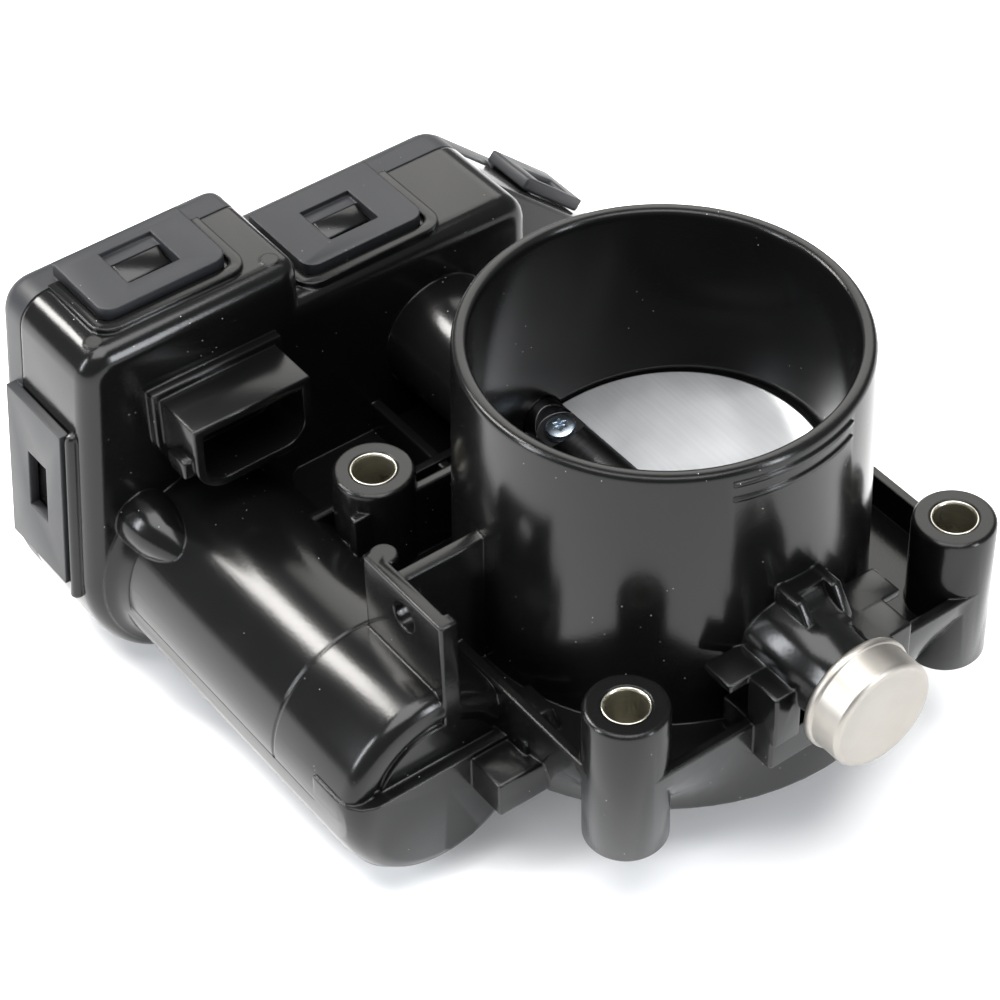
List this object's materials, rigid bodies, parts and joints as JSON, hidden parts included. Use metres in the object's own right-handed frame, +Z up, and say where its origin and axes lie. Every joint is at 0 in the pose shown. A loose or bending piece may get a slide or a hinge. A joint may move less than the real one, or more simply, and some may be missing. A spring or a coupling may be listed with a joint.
{
  "type": "electronic throttle body",
  "caption": "Moulded round-bore throttle body with a geared motor barrel, clipped gear cover, connector socket and a turning plate on a shaft",
  "frame": {"origin": "on the bore's axis, at the face that bolts to the intake manifold", "axes": "+Z up the bore to the air inlet rim, +X along the throttle shaft to its end cap, the motor on the -Y side"},
  "size_m": [0.1732, 0.1453, 0.0982],
  "materials": {
    "housing_plastic": "glossy black glass-filled moulding",
    "cover_plastic": "satin charcoal moulding",
    "seal_rubber": "black moulded rubber",
    "sleeve_steel": "zinc-plated steel, faintly yellow",
    "cap_nickel": "satin nickel-plated pressed steel",
    "bearing_steel": "ground steel",
    "dark_steel": "dark ground steel",
    "plate_aluminium": "brushed satin aluminium",
    "screw_zinc": "bluish zinc plating",
    "gear_nylon": "unpainted cream nylon",
    "brass": "bright drawn brass",
    "copper": "enamelled copper wire and bars",
    "carbon": "sintered dark grey",
    "board_laminate": "green circuit laminate"
  },
  "bodies": {
    "root": {"throttle_housing": "housing_plastic", "gear_cover": "cover_plastic", "cover_seal": "seal_rubber", "manifold_seal": "seal_rubber", "shaft_end_cap": "cap_nickel", "needle_bearing": "bearing_steel", "intermediate_axle": "bearing_steel", "motor_can": "bearing_steel", "motor_end_bell": "bearing_steel", "brush_card": "gear_nylon", "motor_wave_spring": "bearing_steel", "sensor_board": "board_laminate", "return_spring": "bearing_steel", "ball_bearing_outer": "bearing_steel", "ball_bearing_balls": "bearing_steel", "shaft_seal_gear_side": "seal_rubber", "shaft_seal_cap_side": "seal_rubber", "mounting_sleeve_1": "sleeve_steel", "mounting_sleeve_2": "sleeve_steel", "mounting_sleeve_3": "sleeve_steel", "mounting_sleeve_4": "sleeve_steel", "motor_screw_1": "screw_zinc", "motor_magnet_1": "carbon", "brush_1": "carbon", "motor_screw_2": "screw_zinc", "motor_magnet_2": "carbon", "brush_2": "carbon", "connector_pin_1": "brass", "connector_pin_2": "brass", "connector_pin_3": "brass", "connector_pin_4": "brass", "connector_pin_5": "brass", "connector_pin_6": "brass"},
    "throttle": {"throttle_shaft": "dark_steel", "throttle_plate": "plate_aluminium", "plate_screw_1": "screw_zinc", "plate_screw_2": "screw_zinc", "sector_gear": "gear_nylon", "sensor_magnet": "carbon", "ball_bearing_inner": "bearing_steel"},
    "intermediate": {"intermediate_gear": "gear_nylon"},
    "rotor": {"motor_shaft": "bearing_steel", "armature_core": "dark_steel", "armature_winding": "copper", "commutator": "copper", "motor_pinion": "brass"}
  },
  "joints": [
    {"name": "throttle_turn", "type": "hinge", "parent": "root", "child": "throttle", "pos_m": [0, -0.0029, 0.0308], "axis": [1, 0, 0], "range_deg": [-7, 80], "stiffness_Nm_per_rad": 0.02},
    {"name": "intermediate_turn", "type": "hinge", "parent": "root", "child": "intermediate", "pos_m": [-0.09, -0.03237, 0.01488], "axis": [1, 0, 0], "range_deg": [-119, 11]},
    {"name": "rotor_turn", "type": "hinge", "parent": "root", "child": "rotor", "pos_m": [-0.03, -0.0637, 0.0045], "axis": [1, 0, 0], "range_deg": [-52, 593]}
  ],
  "couplings": [
    {"joint": "intermediate_turn", "follows": "throttle_turn", "ratio": -1.4815},
    {"joint": "rotor_turn", "follows": "throttle_turn", "ratio": 7.4074}
  ]
}
